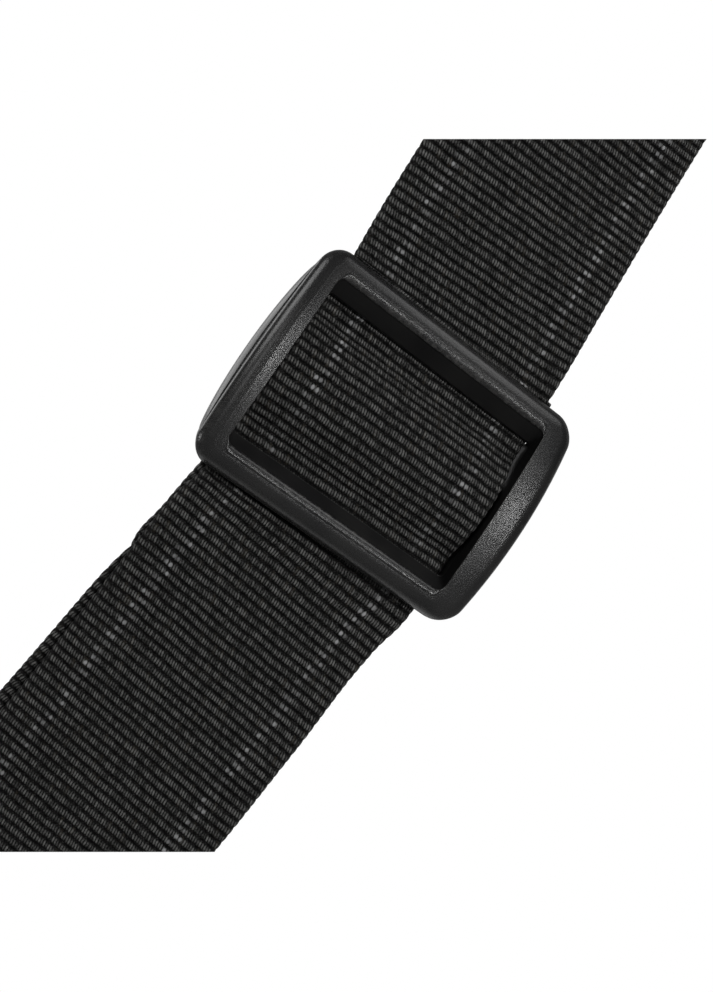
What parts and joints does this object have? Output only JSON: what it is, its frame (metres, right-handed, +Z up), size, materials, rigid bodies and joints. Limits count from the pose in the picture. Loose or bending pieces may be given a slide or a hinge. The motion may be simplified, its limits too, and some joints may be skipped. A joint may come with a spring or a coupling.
{
  "type": "guitar strap",
  "caption": "Ribbed webbing guitar strap with a tri-bar slider for length, a wire ring and leather end tabs with keyholes that button on to strap pins.",
  "frame": {"origin": "centre of the rear strap-button hole, midway through the leather", "axes": "+Z up the back run of the webbing, -Y towards the wearer's front and the slider, +X to the right seen from the front"},
  "size_m": [0.0969, 0.1805, 0.5731],
  "materials": {
    "webbing": "ribbed repp weave webbing with two flecked tracer lines",
    "slider_plastic": "moulded satin black with a fine grain",
    "leather": "smooth grained black leather with burnished edges",
    "leather_backing": "plain black leather, suede side",
    "thread": "bonded sewing thread",
    "coated_wire": "black coated bent wire"
  },
  "bodies": {
    "slider": {"slider_frame": "slider_plastic", "webbing_slider_pass": "webbing", "webbing_sewn_loop": "webbing", "loop_box_stitching": "thread"},
    "rear": {"webbing_upper_run": "webbing", "webbing_over_shoulder": "webbing", "rear_tab_outer": "leather", "rear_tab_backing": "leather_backing", "rear_tab_stitching": "thread"},
    "front": {"webbing_front_run": "webbing", "webbing_back_run": "webbing", "webbing_ring_turn": "webbing"},
    "ring": {"rectangular_ring": "coated_wire"},
    "front_tab": {"front_tab_outer": "leather", "front_tab_backing": "leather_backing", "front_tab_stitching": "thread"}
  },
  "joints": [
    {"name": "rear_slide", "type": "slide", "parent": "slider", "child": "rear", "axis": [0, 0, -1], "range_m": [-0.06, 0.06], "deforming": ["webbing_upper_run"]},
    {"name": "front_slide", "type": "slide", "parent": "slider", "child": "front", "axis": [-0.1624, 0.0941, -0.9822], "range_m": [-0.03, 0.03], "deforming": ["webbing_front_run", "webbing_back_run"]},
    {"name": "ring_pivot", "type": "hinge", "parent": "front", "child": "ring", "pos_m": [-0.02721, -0.15232, 0.07697], "axis": [0.9827, 0.105, -0.1524], "range_deg": [-70, 40]},
    {"name": "tab_pivot", "type": "hinge", "parent": "ring", "child": "front_tab", "pos_m": [-0.03013, -0.15063, 0.05929], "axis": [0.9827, 0.105, -0.1524], "range_deg": [-70, 40]}
  ],
  "couplings": [
    {"joint": "front_slide", "follows": "rear_slide", "ratio": 0.5}
  ]
}
